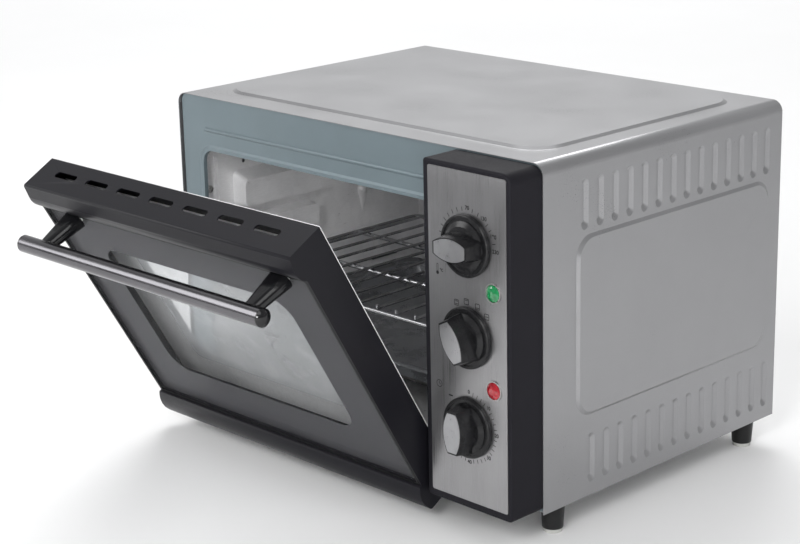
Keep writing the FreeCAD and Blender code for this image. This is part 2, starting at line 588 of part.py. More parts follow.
def door_bottom_rail():
    top = DOOR_RAIL_V - 0.05
    outer = door_prism(DOOR_X0, DOOR_X1, [
        (DOOR_BACK_W, top), (GLASS_W + 2.4, top), ((37.4, 4.5), (34.6, -8.6)), ((33.6, -10.4), (31.6, -11.0)),
        (4.0, -11.0), ((0.5, -9.5), (DOOR_BACK_W, -6.0))])
    wall = 2.0
    inner = door_prism(DOOR_X0 + wall, DOOR_X1 - wall, [
        (DOOR_BACK_W + wall, top - wall), (GLASS_W, top - wall), ((35.2, 4.0), (32.6, -7.6)), (30.6, -9.0),
        (4.8, -9.0), (1.0, -6.0)])
    body = outer.cut(inner)
    boss_length = 4.5
    for x0 in (DOOR_X0 + wall - 0.1, DOOR_X1 - wall - boss_length + 0.1):
        body = body.fuse(Part.makeCylinder(6.0, boss_length, vec(x0, HINGE_Y, HINGE_Z), X_AXIS))
    cuts = [rod(vec(DOOR_X0 - 1, HINGE_Y, HINGE_Z), vec(DOOR_X1 + 1, HINGE_Y, HINGE_Z), PIN_R + RUNNING_FIT)]
    for x in (EAR_X, DOOR_MIDDLE_X * 2 - EAR_X):
        cuts.append(door_box(x - 2.2, x + 2.2, DOOR_BACK_W - 2, HINGE_W + 8.5, -14, 4.5))
    return body.cut(Part.makeCompound(cuts)).removeSplitter()


def door_panes():
    x0, x1 = DOOR_X0 + DOOR_WALL + 0.15, DOOR_X1 - DOOR_WALL - 0.15
    y_front = door_y(GLASS_W)
    pane = rounded_prism("XZ", x0, x1, door_z(DOOR_RAIL_V + 0.4), door_z(250.6), 2.0,
                         y_front, y_front + GLASS_T)
    holes = [Part.makeCylinder(3.2, GLASS_T + 2, vec(x, y_front - 1, door_z(HANDLE_V - 1.0)), Y_AXIS)
             for x in STANDOFF_XS]
    nodes["door_outer_glass"] = pane.cut(Part.makeCompound(holes))
    y_back = door_y(DOOR_BACK_W)
    window_x0, window_x1, window_v0, window_v1 = DOOR_WINDOW
    sheet = box(DOOR_X0, DOOR_X1, y_back - SHEET, y_back, door_z(DOOR_RAIL_V), door_z(DOOR_TOP_V))
    window_z0, window_z1 = door_z(window_v0), door_z(window_v1)
    hole = rounded_prism("XZ", window_x0, window_x1, window_z0, window_z1, 18.0, y_back - 2, y_back + 1)
    nodes["door_inner_panel"] = sheet.cut(hole).removeSplitter()
    pane_y1 = y_back - SHEET - 0.05
    nodes["door_inner_glass"] = rounded_prism("XZ", window_x0 - 8, window_x1 + 8, window_z0 - 8,
                                              window_z1 + 8, 10.0, pane_y1 - INNER_GLASS_T, pane_y1)


def handle_parts():
    y, z = door_y(HANDLE_W), door_z(HANDLE_V)
    cap = HANDLE_DOME + 1.0
    tube = rod(vec(HANDLE_X0 + cap, y, z), vec(HANDLE_X1 - cap, y, z), HANDLE_R)
    bore = rod(vec(HANDLE_X0, y, z), vec(HANDLE_X1, y, z), HANDLE_R - 1.2)
    nodes["handle_tube"] = tube.cut(bore)
    caps = []
    dome_r = (HANDLE_R ** 2 + HANDLE_DOME ** 2) / (2 * HANDLE_DOME)
    for x, sign in ((HANDLE_X0, 1), (HANDLE_X1, -1)):
        lid = rod(vec(x, y, z), vec(x + sign * cap, y, z), HANDLE_R)
        lid = lid.common(Part.makeSphere(dome_r, vec(x + sign * dome_r, y, z)))
        plug = rod(vec(x + sign * cap, y, z), vec(x + sign * (cap + 6), y, z), HANDLE_R - 1.25)
        caps.append(lid.fuse(plug).removeSplitter())
    nodes["handle_end_caps"] = Part.makeCompound(caps)
    posts, screws = [], []
    for x in STANDOFF_XS:
        foot_y = door_y(GLASS_W) - 0.02
        tip_y = door_y(HANDLE_W - HANDLE_R + 3.0)
        foot = rounded_wire("XZ", x - 11.5, x + 11.5, z - 8.0, z + 6.0, (6.4,) * 4, foot_y)
        tip = rounded_wire("XZ", x - 7.0, x + 7.0, z - 5.5, z + 5.5, (5.4,) * 4, tip_y)
        post = Part.makeLoft([foot, tip], True, True)
        post = post.cut(rod(vec(x - 20, y, z), vec(x + 20, y, z), HANDLE_R + 0.02))
        screw_head_y = door_y(GLASS_W - GLASS_T)
        post = post.cut(Part.makeCylinder(2.5, 16, vec(x, foot_y - 16, z - 1.0), Y_AXIS))
        posts.append(post)
        screws.append(fuse([Part.makeCylinder(2.5, GLASS_T + 17.0, vec(x, foot_y - 15.5, z - 1.0), Y_AXIS),
                            Part.makeCylinder(5.0, 3.0, vec(x, screw_head_y + 0.05, z - 1.0), Y_AXIS)]))
    nodes["handle_standoffs"] = Part.makeCompound(posts)
    nodes["handle_screws"] = Part.makeCompound(screws)


# ---- hinge parts on the chassis ----
def hinge_hardware():
    ear_x0 = EAR_X - EAR_T / 2
    head = Part.makeCylinder(6.0, EAR_T, vec(ear_x0, HINGE_Y, HINGE_Z), X_AXIS)
    neck = box(ear_x0, ear_x0 + EAR_T, HINGE_Y, FRAME_Y, 1.4, 9.0)
    foot = rounded_prism("XZ", ear_x0, ear_x0 + 16, 2.4, 25.0, 2.0, FRAME_Y - SHEET, FRAME_Y)
    ear = fuse([head, neck, foot]).cut(rod(vec(0, HINGE_Y, HINGE_Z), vec(30, HINGE_Y, HINGE_Z), PIN_R))
    pin = rod(vec(DOOR_X0 + 0.3, HINGE_Y, HINGE_Z), vec(EAR_X + 2.0, HINGE_Y, HINGE_Z), PIN_R)
    washer = ring("YZ", HINGE_Y, HINGE_Z, 5.4, PIN_R + RUNNING_FIT, 9.05, 10.1)
    for name, piece in (("hinge_brackets", ear), ("hinge_pins", pin), ("hinge_washers", washer)):
        nodes[name] = Part.makeCompound([piece, mirrored(piece, DOOR_MIDDLE_X)])


# ---- feet and fasteners ----
def feet_parts():
    feet, pads, screws = [], [], []
    for x in FOOT_XS:
        for y in FOOT_YS:
            foot = Part.makeCone(8.6, 10.2, FOOT_H, vec(x, y, -FOOT_H), Z_AXIS)
            bore = Part.makeCylinder(4.5, FOOT_H - 6, vec(x, y, -FOOT_H), Z_AXIS)
            hole = Part.makeCylinder(2.0, FOOT_H, vec(x, y, -FOOT_H), Z_AXIS)
            feet.append(foot.cut(bore).cut(hole))
            pads.append(Part.makeCylinder(7.9, PAD_H, vec(x, y, -FOOT_H - PAD_H), Z_AXIS))
            screws.append(fuse([Part.makeCylinder(3.8, 2.4, vec(x, y, -8.4), Z_AXIS),
                                Part.makeCylinder(1.95, 8.4, vec(x, y, -6.5), Z_AXIS)]))
    nodes["feet"] = Part.makeCompound(feet)
    nodes["foot_pads"] = Part.makeCompound(pads)
    nodes["foot_screws"] = Part.makeCompound(screws)
    return screws


def pan_screw(point, heading, head_r=3.4, length=6.0):
    head = Part.makeCylinder(head_r, 1.8, point, heading)
    crown = [edge for edge in head.Edges if abs((edge.BoundBox.Center - point).dot(heading) - 1.8) < 1e-6
             and edge.Length > 1.0]
    head = head.makeFillet(1.0, crown[:1])
    shank = Part.makeCylinder(1.6, length, point - heading * length, heading)
    cross = Part.makeBox(3.6, 0.7, 0.8, vec(-1.8, -0.35, -0.8))
    recess = cross.fuse(Part.makeBox(0.7, 3.6, 0.8, vec(-0.35, -1.8, -0.8)))
    turn = FreeCAD.Rotation(Z_AXIS, heading)
    recess.Placement = FreeCAD.Placement(point + heading * 1.81, turn)
    return head.fuse(shank).cut(recess).removeSplitter()


def fasteners():
    rear_y = CASE_D - 3.0 + SHEET
    rear = [(10, 20), (430, 20), (10, 265), (430, 265), (150, 12), (290, 12), (150, 275), (290, 275)]
    nodes["casing_screws"] = Part.makeCompound([pan_screw(vec(x, rear_y, z), Y_AXIS) for x, z in rear])
    channel_x = WALL_X - 5.0 + SHEET
    left = [pan_screw(vec(channel_x, 18.5, z), X_AXIS, 3.6, 3.0) for z in (90.0, 193.0)]
    middle = (WALL_X + WALL_X_RIGHT) / 2
    nodes["liner_screws"] = Part.makeCompound(left + [mirrored(screw, middle) for screw in left])


def supply_parts():
    rear_y = CASE_D - 3.0
    x, z = 400.0, 40.0
    collar = Part.makeCylinder(11.0, 2.2, vec(x, rear_y + SHEET, z), Y_AXIS)
    body = Part.makeCylinder(7.8, 14, vec(x, rear_y - 11, z), Y_AXIS)
    nut = Part.makeCylinder(11.0, 4.0, vec(x, rear_y - 4.1, z), Y_AXIS)
    bore = Part.makeCylinder(4.0, 30, vec(x, rear_y - 15, z), Y_AXIS)
    nodes["cord_gland"] = fuse([collar, body, nut]).cut(bore)
    block = box(378, 422, 232, 250, 1.6, 22)
    wells = [Part.makeCylinder(3.0, 14, vec(387 + 13 * index, 241, 10), Z_AXIS) for index in range(3)]
    nodes["terminal_block"] = block.cut(Part.makeCompound(wells))


# ---- assembly ----
def cut_for(node, tools):
    nodes[node] = nodes[node].cut(Part.makeCompound(tools))


nodes["outer_casing"] = outer_casing()
nodes["rear_panel"] = rear_panel()
nodes["bottom_panel"] = bottom_panel()
nodes["front_frame"] = front_frame()
nodes["cavity_left_wall"] = cavity_side(False)
nodes["cavity_right_wall"] = mirrored(cavity_side(True), (WALL_X + WALL_X_RIGHT) / 2)
cavity_sheets()
heating_parts()
sensor_parts()
rack_parts()
nodes["baking_tray"] = baking_tray()
nodes["control_housing"] = control_housing()
nodes["fascia_plate"] = fascia_plate()
lamp_parts()
control_bodies()
for knob_name in KNOB_ZS:
    knob_parts(knob_name)
fixed_before_door = set(nodes)
nodes["door_frame"] = door_frame()
nodes["door_bottom_rail"] = door_bottom_rail()
door_panes()
handle_parts()
for door_node in set(nodes) - fixed_before_door:
    nodes[door_node].rotate(vec(0, HINGE_Y, HINGE_Z), X_AXIS, DOOR_REST_ANGLE)
hinge_hardware()
foot_screws = feet_parts()
fasteners()
supply_parts()

# Fastener holes through the sheets they pass.
cut_for("bottom_panel", foot_screws)
cut_for("outer_casing", foot_screws)
cut_for("rear_panel", nodes["casing_screws"].Solids)
cut_for("cavity_left_wall", nodes["liner_screws"].Solids)
cut_for("cavity_right_wall", nodes["liner_screws"].Solids)

# The origin is the centre of the underside of the part's bounding box, the door standing ajar.
bounds = FreeCAD.BoundBox()
for shape in nodes.values():
    bounds.add(shape.optimalBoundingBox())
shift = vec(-bounds.Center.x, -bounds.Center.y, -bounds.ZMin)

os.makedirs("parts", exist_ok=True)
for node, shape in nodes.items():
    shape.translate(shift)
    shape.exportStep(os.path.join("parts", node + ".step"))
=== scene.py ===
import json
import math

import bmesh
import bpy
from mathutils import Matrix, Vector


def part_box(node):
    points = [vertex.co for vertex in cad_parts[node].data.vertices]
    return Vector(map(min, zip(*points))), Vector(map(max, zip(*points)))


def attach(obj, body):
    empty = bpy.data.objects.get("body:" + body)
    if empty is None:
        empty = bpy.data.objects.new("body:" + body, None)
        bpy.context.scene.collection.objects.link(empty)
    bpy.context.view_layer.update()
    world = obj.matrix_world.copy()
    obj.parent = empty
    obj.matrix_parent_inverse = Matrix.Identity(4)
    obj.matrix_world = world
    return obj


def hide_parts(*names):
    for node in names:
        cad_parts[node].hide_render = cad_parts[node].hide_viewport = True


# Looks of a countertop toaster oven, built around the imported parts. Lengths are in metres.
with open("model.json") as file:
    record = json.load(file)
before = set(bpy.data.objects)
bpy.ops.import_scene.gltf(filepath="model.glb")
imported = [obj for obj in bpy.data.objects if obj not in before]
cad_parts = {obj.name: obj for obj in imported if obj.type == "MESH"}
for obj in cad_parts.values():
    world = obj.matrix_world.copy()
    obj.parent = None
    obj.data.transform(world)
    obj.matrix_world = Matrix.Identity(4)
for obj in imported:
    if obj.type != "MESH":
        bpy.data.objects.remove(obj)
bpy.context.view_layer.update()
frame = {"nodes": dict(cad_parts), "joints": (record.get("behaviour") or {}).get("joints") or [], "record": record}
nodes = frame["nodes"]

MM = 0.001

# ---- places read from the frame ----
fascia_lo, fascia_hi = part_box("fascia_plate")
hinge_lo, hinge_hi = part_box("hinge_pins")
hinge = (hinge_lo + hinge_hi) / 2
door_lo, door_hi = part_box("door_frame")
door_joint = next(joint for joint in frame["joints"] if joint["name"] == "door_hinge")
door_ajar = math.radians(-door_joint["range_deg"][0])

# The door's own axes: x across, v up the closed door, w outward through it.
HINGE_V = -4.3 * MM
HINGE_W = 10.0 * MM
GLASS_FRONT_W = 31.0 * MM
GLASS_T = 4.0 * MM
GLASS_V0 = 15.4 * MM
LIP_V = 245.5 * MM
WINDOW_V0 = 57.8 * MM
WINDOW_V1 = 204.0 * MM
WINDOW_INSET_LEFT = 49.0 * MM
WINDOW_INSET_RIGHT = 54.5 * MM
WINDOW_R = 20.0 * MM

door_space = (Matrix.Translation((0.0, hinge.y, hinge.z)) @ Matrix.Rotation(door_ajar, 4, "X")
              @ Matrix.Translation((0.0, HINGE_W, -HINGE_V)))


def on_door(x, v, w):
    """A point given in the door's own axes, at the pose the part rests in."""
    return door_space @ Vector((x, -w, v))


# ---- materials ----
def grey_map(links, tree, source, low, high):
    """The noise value, spread from low to high."""
    spread = tree.nodes.new("ShaderNodeMapRange")
    spread.inputs["From Min"].default_value = 0.3
    spread.inputs["From Max"].default_value = 0.7
    spread.inputs["To Min"].default_value = low
    spread.inputs["To Max"].default_value = high
    links.new(source, spread.inputs["Value"])
    return spread.outputs["Result"]


def ramp(tree, start, end):
    """A value that runs from 0 at the point start to 1 at the point end."""
    links = tree.links
    place = tree.nodes.new("ShaderNodeTexCoord")
    offset = tree.nodes.new("ShaderNodeVectorMath")
    offset.operation = "SUBTRACT"
    offset.inputs[1].default_value = start
    links.new(place.outputs["Object"], offset.inputs[0])
    along = Vector(end) - Vector(start)
    share = tree.nodes.new("ShaderNodeVectorMath")
    share.operation = "DOT_PRODUCT"
    share.inputs[1].default_value = along / along.length_squared
    links.new(offset.outputs["Vector"], share.inputs[0])
    return share.outputs["Value"]


def pattern(tree, kind, size):
    """A procedural value whose features measure about size = (x, y, z) in metres."""
    if kind == "ramp":
        return ramp(tree, *size)
    links = tree.links
    place = tree.nodes.new("ShaderNodeTexCoord")
    scale = tree.nodes.new("ShaderNodeMapping")
    scale.inputs["Scale"].default_value = [1.0 / length for length in size]
    links.new(place.outputs["Object"], scale.inputs["Vector"])
    if kind == "cells":
        texture = tree.nodes.new("ShaderNodeTexVoronoi")
        texture.feature = "F1"
        texture.inputs["Scale"].default_value = 1.0
        links.new(scale.outputs["Vector"], texture.inputs["Vector"])
        split = tree.nodes.new("ShaderNodeSeparateColor")
        links.new(texture.outputs["Color"], split.inputs["Color"])
        return split.outputs["Red"]
    texture = tree.nodes.new("ShaderNodeTexNoise")
    texture.inputs["Scale"].default_value = 1.0
    texture.inputs["Detail"].default_value = 3.0
    links.new(scale.outputs["Vector"], texture.inputs["Vector"])
    return texture.outputs["Fac"]


def finish_material(name, color, metallic, roughness, layers=(), **sockets):
    """A Principled material; each layer is (kind, size, tint, roughness change, bump height)."""
    material = bpy.data.materials.new(name)
    material.use_nodes = True
    tree = material.node_tree
    links = tree.links
    shader = tree.nodes["Principled BSDF"]
    shader.inputs["Base Color"].default_value = (*color, 1.0)
    shader.inputs["Metallic"].default_value = metallic
    shader.inputs["Roughness"].default_value = roughness
    for socket, value in sockets.items():
        shader.inputs[socket.replace("_", " ")].default_value = value
    colour_out, rough_out, normal_out = None, None, None
    for kind, size, tint, rough, bump in layers:
        value = pattern(tree, kind, size)
        if tint:
            mix = tree.nodes.new("ShaderNodeMix")
            mix.data_type = "RGBA"
            mix.blend_type = "MULTIPLY"
            mix.inputs["Factor"].default_value = 1.0
            if colour_out is None:
                mix.inputs["A"].default_value = (*color, 1.0)
            else:
                links.new(colour_out, mix.inputs["A"])
            links.new(grey_map(links, tree, value, 1.0 - tint, 1.0 + tint), mix.inputs["B"])
            colour_out = mix.outputs["Result"]
        if rough:
            add = tree.nodes.new("ShaderNodeMath")
            add.operation = "ADD"
            add.inputs[0].default_value = roughness
            if rough_out is not None:
                links.new(rough_out, add.inputs[0])
            links.new(grey_map(links, tree, value, -rough, rough), add.inputs[1])
            rough_out = add.outputs["Value"]
        if bump:
            relief = tree.nodes.new("ShaderNodeBump")
            relief.inputs["Distance"].default_value = bump
            links.new(value, relief.inputs["Height"])
            if normal_out is not None:
                links.new(normal_out, relief.inputs["Normal"])
            normal_out = relief.outputs["Normal"]
    if colour_out is not None:
        links.new(colour_out, shader.inputs["Base Color"])
    if rough_out is not None:
        links.new(rough_out, shader.inputs["Roughness"])
    if normal_out is not None:
        links.new(normal_out, shader.inputs["Normal"])
    return material


def cube(size):
    return (size, size, size)


# Painted shading: the fascia's colour brightens from its upper left corner to its lower right one, in place of the
# changing reflection across it.
FASCIA_PAINTED_SHADING = ((fascia_lo.x, fascia_lo.y, fascia_hi.z), (fascia_hi.x, fascia_hi.y, fascia_lo.z))

looks = {
    "casing_paint": finish_material(
        "casing_paint", (0.315, 0.315, 0.323), 0.72, 0.34,
        [("noise", cube(60 * MM), 0.03, 0.03, 0.0), ("noise", cube(0.7 * MM), 0.03, 0.05, 0.010 * MM)]),
    "frame_paint": finish_material(
        "frame_paint", (0.155, 0.197, 0.216), 0.15, 0.36,
        [("noise", cube(45 * MM), 0.04, 0.04, 0.0), ("noise", cube(0.8 * MM), 0.03, 0.04, 0.010 * MM)],
        Specular_IOR_Level=0.35),
    "galvanised": finish_material(
        "galvanised", (0.86, 0.855, 0.86), 0.25, 0.38,
        [("cells", (9 * MM, 9 * MM, 13 * MM), 0.02, 0.04, 0.0),
         ("noise", cube(35 * MM), 0.05, 0.05, 0.0),
         ("noise", (1.2 * MM, 6 * MM, 1.2 * MM), 0.03, 0.04, 0.010 * MM)]),
    "element_steel": finish_material(
        "element_steel", (0.14, 0.135, 0.135), 0.7, 0.46,
        [("noise", (12 * MM, 3 * MM, 3 * MM), 0.25, 0.08, 0.0),
         ("noise", cube(0.6 * MM), 0.08, 0.05, 0.02 * MM)]),
    "ceramic": finish_material(
        "ceramic", (0.80, 0.77, 0.70), 0.0, 0.7,
        [("noise", cube(5 * MM), 0.05, 0.05, 0.0), ("noise", cube(0.4 * MM), 0.05, 0.05, 0.03 * MM)]),
    "chrome_wire": finish_material(
        "chrome_wire", (0.42, 0.42, 0.43), 1.0, 0.24,
        [("noise", cube(18 * MM), 0.05, 0.05, 0.0), ("noise", cube(0.5 * MM), 0.03, 0.04, 0.006 * MM)]),
    "tray_enamel": finish_material(
        "tray_enamel", (0.20, 0.205, 0.215), 0.3, 0.28,
        [("noise", cube(40 * MM), 0.07, 0.05, 0.0), ("noise", cube(1.2 * MM), 0.02, 0.02, 0.003 * MM)]),
    "housing_plastic": finish_material(
        "housing_plastic", (0.0155, 0.0150, 0.0185), 0.0, 0.50,
        [("noise", cube(30 * MM), 0.06, 0.04, 0.0), ("cells", cube(0.5 * MM), 0.10, 0.06, 0.014 * MM)],
        Specular_IOR_Level=0.06),
    "brushed_plate": finish_material(
        "brushed_plate", (0.315, 0.312, 0.318), 0.90, 0.34,
        # painted shading ramp: the upper left of the fascia is painted darker, the lower right lighter
        [("ramp", FASCIA_PAINTED_SHADING, 0.16, 0.0, 0.0),
         ("noise", (0.25 * MM, 4 * MM, 70 * MM), 0.05, 0.08, 0.004 * MM),
         ("noise", (22 * MM, 20 * MM, 60 * MM), 0.05, 0.03, 0.0)]),
    "control_case": finish_material(
        "control_case", (0.10, 0.095, 0.09), 0.0, 0.5,
        [("noise", cube(8 * MM), 0.08, 0.05, 0.0), ("noise", cube(0.5 * MM), 0.05, 0.05, 0.02 * MM)]),
    "zinc": finish_material(
        "zinc", (0.64, 0.64, 0.62), 1.0, 0.30,
        [("noise", cube(4 * MM), 0.10, 0.08, 0.0), ("noise", cube(0.4 * MM), 0.05, 0.05, 0.01 * MM)]),
    "knob_plastic": finish_material(
        "knob_plastic", (0.009, 0.009, 0.010), 0.0, 0.27,
        [("noise", cube(14 * MM), 0.12, 0.05, 0.0), ("noise", cube(0.35 * MM), 0.10, 0.04, 0.006 * MM)],
        Specular_IOR_Level=0.34),
    "knob_silver": finish_material(
        "knob_silver", (0.36, 0.36, 0.37), 0.85, 0.32,
        [("noise", (0.25 * MM, 2 * MM, 7 * MM), 0.02, 0.04, 0.001 * MM),
         ("noise", cube(9 * MM), 0.06, 0.05, 0.0)]),
    "green_lens": finish_material(
        "green_lens", (0.002, 0.19, 0.055), 0.0, 0.08,
        [("noise", cube(3 * MM), 0.20, 0.02, 0.0)], Coat_Weight=1.0, Coat_Roughness=0.03),
    "red_lens": finish_material(
        "red_lens", (0.32, 0.002, 0.010), 0.0, 0.08,
        [("noise", cube(3 * MM), 0.20, 0.02, 0.0)], Coat_Weight=1.0, Coat_Roughness=0.03),
    "lamp_rim": finish_material(
        "lamp_rim", (0.40, 0.39, 0.39), 0.9, 0.30,
        [("noise", cube(2 * MM), 0.06, 0.05, 0.0)]),
    "door_paint": finish_material(
        "door_paint", (0.0085, 0.0082, 0.0112), 0.0, 0.38,
        [("noise", cube(50 * MM), 0.06, 0.03, 0.0), ("noise", cube(0.7 * MM), 0.07, 0.05, 0.010 * MM)],
        Specular_IOR_Level=0.22),
    "door_glass": finish_material(
        "door_glass", (0.93, 0.945, 0.95), 1.0, 0.02,
        [("noise", cube(70 * MM), 0.02, 0.012, 0.0)]),
    "door_lining": finish_material(
        "door_lining", (0.78, 0.78, 0.785), 0.0, 0.45,
        [("noise", (3 * MM, 3 * MM, 30 * MM), 0.06, 0.05, 0.0),
         ("noise", cube(0.7 * MM), 0.03, 0.04, 0.01 * MM)]),
    "handle_chrome": finish_material(
        "handle_chrome", (0.135, 0.132, 0.14), 1.0, 0.19,
        [("noise", (45 * MM, 0.25 * MM, 0.25 * MM), 0.16, 0.07, 0.003 * MM),
         ("noise", cube(40 * MM), 0.08, 0.03, 0.0)]),
    "handle_black": finish_material(
        "handle_black", (0.006, 0.006, 0.007), 0.0, 0.10,
        [("noise", cube(9 * MM), 0.15, 0.04, 0.0)]),
    "foot_black": finish_material(
        "foot_black", (0.012, 0.012, 0.0125), 0.0, 0.45,
        [("noise", cube(5 * MM), 0.12, 0.06, 0.0), ("noise", cube(0.5 * MM), 0.10, 0.06, 0.02 * MM)],
        Specular_IOR_Level=0.3),
    "pad_rubber": finish_material(
        "pad_rubber", (0.50, 0.50, 0.48), 0.0, 0.8,
        [("noise", cube(4 * MM), 0.08, 0.05, 0.0), ("noise", cube(0.4 * MM), 0.06, 0.05, 0.04 * MM)]),
}
print_grey = finish_material(
    "print_grey", (0.066, 0.064, 0.070), 0.0, 0.55,
    [("noise", cube(60 * MM), 0.04, 0.03, 0.0), ("noise", cube(3 * MM), 0.01, 0.02, 0.0)],
    Specular_IOR_Level=0.12)
print_ink = finish_material(
    "print_ink", (0.012, 0.012, 0.013), 0.0, 0.5,
    [("noise", cube(1.5 * MM), 0.12, 0.06, 0.0)], Specular_IOR_Level=0.2)
seal_black = finish_material(
    "seal_black", (0.003, 0.003, 0.0035), 0.0, 0.45,
    [("noise", cube(6 * MM), 0.15, 0.06, 0.0), ("noise", cube(0.4 * MM), 0.08, 0.05, 0.02 * MM)],
    Specular_IOR_Level=0.2)


def make_clear(material, floor_share, rim_share):
    """Thin clear glass: the surface mirrors a little, more at a slant, and passes the rest straight on."""
    tree = material.node_tree
    slant = tree.nodes.new("ShaderNodeLayerWeight")
    slant.inputs["Blend"].default_value = 0.5
    steep = tree.nodes.new("ShaderNodeMath")
    steep.operation = "POWER"
    steep.inputs[1].default_value = 3.0
    tree.links.new(slant.outputs["Facing"], steep.inputs[0])
    share = tree.nodes.new("ShaderNodeMath")
    share.operation = "MULTIPLY_ADD"
    share.inputs[1].default_value = rim_share
    share.inputs[2].default_value = floor_share
    tree.links.new(steep.outputs["Value"], share.inputs[0])
    clear = tree.nodes.new("ShaderNodeBsdfTransparent")
    clear.inputs["Color"].default_value = (0.975, 0.978, 0.98, 1.0)
    mix = tree.nodes.new("ShaderNodeMixShader")
    tree.links.new(share.outputs["Value"], mix.inputs[0])
    tree.links.new(clear.outputs["BSDF"], mix.inputs[1])
    tree.links.new(tree.nodes["Principled BSDF"].outputs["BSDF"], mix.inputs[2])
    tree.links.new(mix.outputs["Shader"], tree.nodes["Material Output"].inputs["Surface"])


make_clear(looks["door_glass"], 0.005, 0.04)
# Painted shade: a darker copy of the galvanised finish for the rear and bottom panels, which the backdrop light
# strikes hard.
rear_sheet_painted_shade = finish_material(
    "rear_sheet_painted_shade", (0.46, 0.46, 0.465), 0.45, 0.42,
    [("cells", (9 * MM, 9 * MM, 13 * MM), 0.03, 0.05, 0.0), ("noise", cube(35 * MM), 0.05, 0.05, 0.0),
     ("noise", (6 * MM, 1.2 * MM, 1.2 * MM), 0.03, 0.04, 0.008 * MM)])
hazed_glass = finish_material(
    "hazed_glass", (0.80, 0.81, 0.82), 0.0, 0.25,
    [("noise", cube(45 * MM), 0.05, 0.05, 0.0), ("noise", cube(0.6 * MM), 0.02, 0.03, 0.0)])
make_clear(hazed_glass, 0.27, 0.30)

for subpart in frame["record"]["subparts"]:
    mesh = nodes[subpart["node"]].data
    mesh.materials.clear()
    mesh.materials.append(looks[subpart["material_slot"]])
nodes["door_inner_glass"].data.materials[0] = hazed_glass
# The rear and bottom panels get the darker copy of the galvanised finish, which is painted shade.
for name in ("rear_panel", "bottom_panel"):
    nodes[name].data.materials[0] = rear_sheet_painted_shade

# ---- softened edges on the parts whose edges catch the light ----
EDGE_WIDTHS = {
    "door_frame": 0.5, "door_bottom_rail": 0.6, "fascia_plate": 0.45, "control_housing": 0.4,
    "handle_standoffs": 0.5, "door_outer_glass": 0.4, "front_frame": 0.3, "outer_casing": 0.25,
    "baking_tray": 0.3, "feet": 0.6, "foot_pads": 0.3, "hinge_brackets": 0.2,
}
for name, width in EDGE_WIDTHS.items():
    part = nodes[name]
    weld = part.modifiers.new("weld", "WELD")
    weld.merge_threshold = 0.002 * MM
    bevel = part.modifiers.new("edges", "BEVEL")
    bevel.width = width * MM
    bevel.segments = 2
    bevel.limit_method = "ANGLE"
    bevel.angle_limit = math.radians(40)
    bevel.harden_normals = True


# ---- mesh helpers ----
def add_piece(name, bm, material, body):
    """Makes a bmesh into a piece that rides on a body."""
    bmesh.ops.recalc_face_normals(bm, faces=bm.faces)
    mesh = bpy.data.meshes.new(name)
    bm.to_mesh(mesh)
    bm.free()
    mesh.materials.append(material)
    piece = bpy.data.objects.new(name, mesh)
    bpy.context.scene.collection.objects.link(piece)
    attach(piece, body)
    return piece


def rounded_outline(a0, a1, b0, b1, radius, steps=10):
    """Points round a rectangle with rounded corners, anticlockwise."""
    points = []
    for centre_a, centre_b, start in ((a1 - radius, b0 + radius, -90), (a1 - radius, b1 - radius, 0),
                                      (a0 + radius, b1 - radius, 90), (a0 + radius, b0 + radius, 180)):
        for step in range(steps + 1):
            angle = math.radians(start + 90 * step / steps)
            points.append((centre_a + radius * math.cos(angle), centre_b + radius * math.sin(angle)))
    return points


def add_band(bm, outer, inner, place, low, high):
    """A flat closed band between two outlines with the same number of points."""
    rings = [[bm.verts.new(place(a, b, level)) for a, b in outline]
             for outline, level in ((outer, low), (outer, high), (inner, high), (inner, low))]
    count = len(outer)
    for ring, following in zip(rings, rings[1:] + rings[:1]):
        for index in range(count):
            after = (index + 1) % count
            bm.faces.new((ring[index], ring[after], following[after], following[index]))


def add_plate(bm, outline, place, low, high):
    """A flat plate with the given convex outline."""
    bottom = [bm.verts.new(place(a, b, low)) for a, b in outline]
    top = [bm.verts.new(place(a, b, high)) for a, b in outline]
    bm.faces.new(top)
    bm.faces.new(list(reversed(bottom)))
    count = len(outline)
    for index in range(count):
        after = (index + 1) % count
        bm.faces.new((bottom[index], bottom[after], top[after], top[index]))


def add_stroke(bm, points, width, place, low, high):
    """A pen stroke along the points, as one plate for each run."""
    for (a0, b0), (a1, b1) in zip(points, points[1:]):
        length = math.hypot(a1 - a0, b1 - b0)
        da, db = (a1 - a0) / length * width / 2, (b1 - b0) / length * width / 2
        add_plate(bm, [(a0 - da + db, b0 - db - da), (a1 + da + db, b1 + db - da),
                       (a1 + da - db, b1 + db + da), (a0 - da - db, b0 - db + da)], place, low, high)


FIGURE_RISE = 0.02 * MM
FIGURE_WEIGHT = 0.13 * MM


def add_text(bm, text, height, centre_a, centre_b, place_matrix):
    """Raised figures: the text's own plane is moved by place_matrix."""
    curve = bpy.data.curves.new("figures", "FONT")
    curve.body = text
    curve.size = height
    curve.align_x = "CENTER"
    curve.align_y = "CENTER"
    curve.extrude = FIGURE_RISE
    curve.offset = FIGURE_WEIGHT
    holder = bpy.data.objects.new("figures", curve)
    mesh = bpy.data.meshes.new_from_object(holder)
    mesh.transform(place_matrix @ Matrix.Translation((centre_a, centre_b, 0.0)))
    bm.from_mesh(mesh)
    bpy.data.objects.remove(holder)
    bpy.data.curves.remove(curve)
    bpy.data.meshes.remove(mesh)


# ---- printed marks on the fascia ----
PRINT_T = 0.04 * MM
TICK_W = 0.56 * MM
FIGURE_H = 4.4 * MM
DEGREE_MARK_H = 3.2 * MM
ICON_HALF = 2.5 * MM
ICON_LINE = 0.52 * MM
ICON_BAR_LINE = 0.45 * MM
ICON_BAR_PITCH = 1.1 * MM
plate_front = fascia_lo.y


def on_fascia(a, b, level):
    return Vector((a, plate_front - level, b))


fascia_space = Matrix(((1, 0, 0, 0), (0, 0, -1, plate_front), (0, 1, 0, 0), (0, 0, 0, 1)))


def knob_centre(name):
    low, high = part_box(name + "_shaft")
    return (low.x + high.x) / 2, (low.z + high.z) / 2


